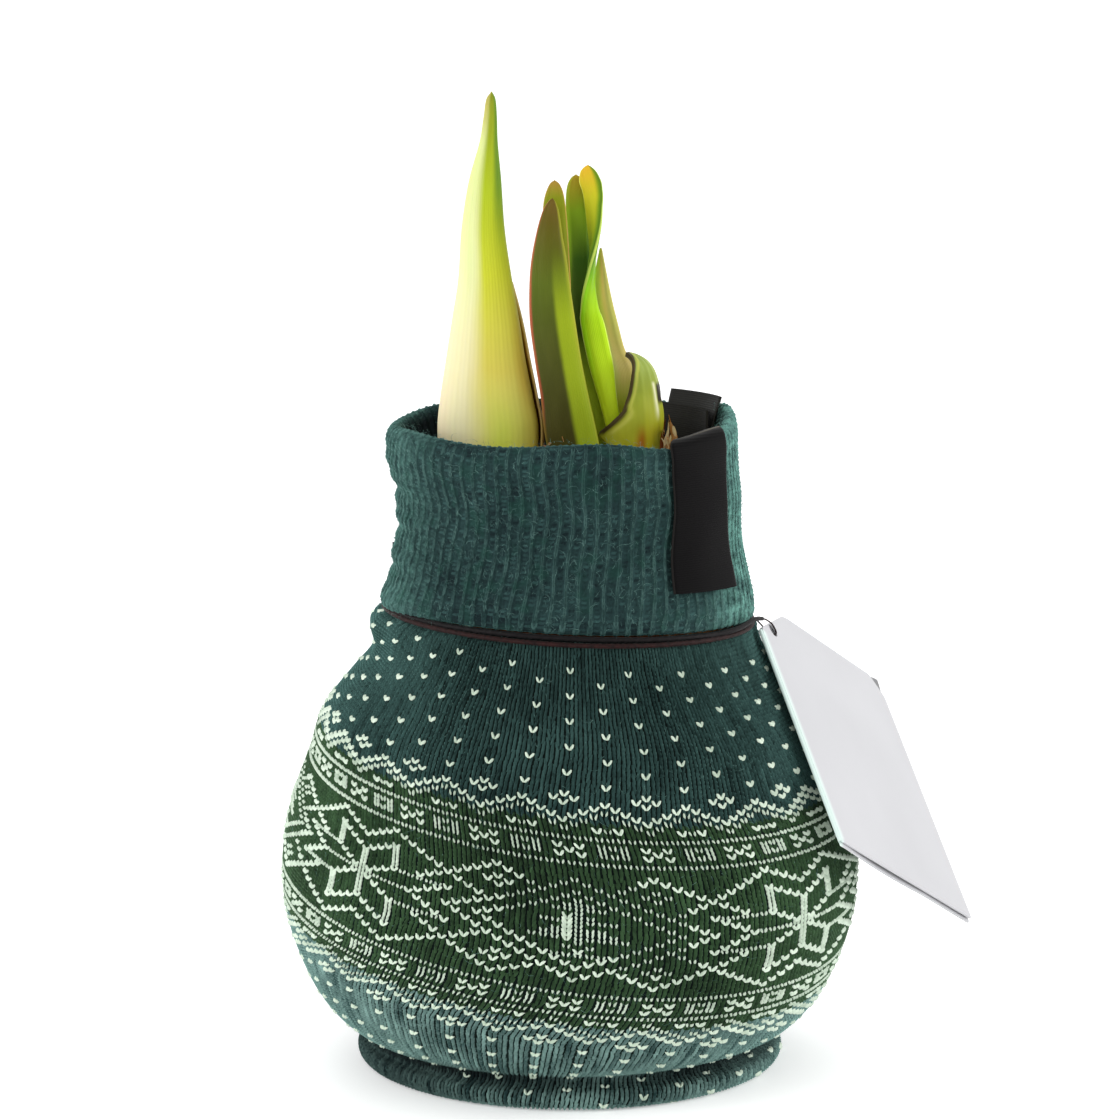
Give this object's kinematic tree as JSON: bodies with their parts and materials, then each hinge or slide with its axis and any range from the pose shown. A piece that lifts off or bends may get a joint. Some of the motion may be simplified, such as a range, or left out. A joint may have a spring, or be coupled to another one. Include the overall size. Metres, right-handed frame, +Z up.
{
  "type": "amaryllis bulb in a knitted sleeve",
  "caption": "Sprouting amaryllis bulb with a flower shoot and young leaves, dressed in a patterned knitted sleeve with a turned-down rib collar, a cord and a hang tag.",
  "frame": {"origin": "centre of the flat foot of the sleeve, where it rests", "axes": "+Z up along the bulb, +X to the side of the hang tag, -Y to the front"},
  "size_m": [0.1128, 0.0932, 0.157],
  "materials": {
    "bulb_skin": "dry papery tunic",
    "flower_shoot": "satin, cream to lime",
    "spathe": "satin, red-brown",
    "leaf": "waxy green with red margins",
    "sheath": "waxy, dry at the cut edge",
    "knit": "fine wool knit, teal and green ground with white pattern",
    "rib": "dark teal rib knit",
    "cord": "braided black elastic",
    "label": "black satin weave",
    "card": "coated pale grey card"
  },
  "bodies": {
    "root": {"bulb": "bulb_skin", "flower_shoot": "flower_shoot", "rear_spathe": "spathe", "leaf_1": "leaf", "leaf_2": "leaf", "leaf_3": "leaf", "leaf_4": "leaf", "leaf_5": "leaf", "sheath_scale": "sheath", "sleeve": "knit", "collar": "rib", "cord": "cord", "front_label": "label", "rear_label": "label", "seam_tab": "label", "tag": "card"}
  },
  "joints": []
}
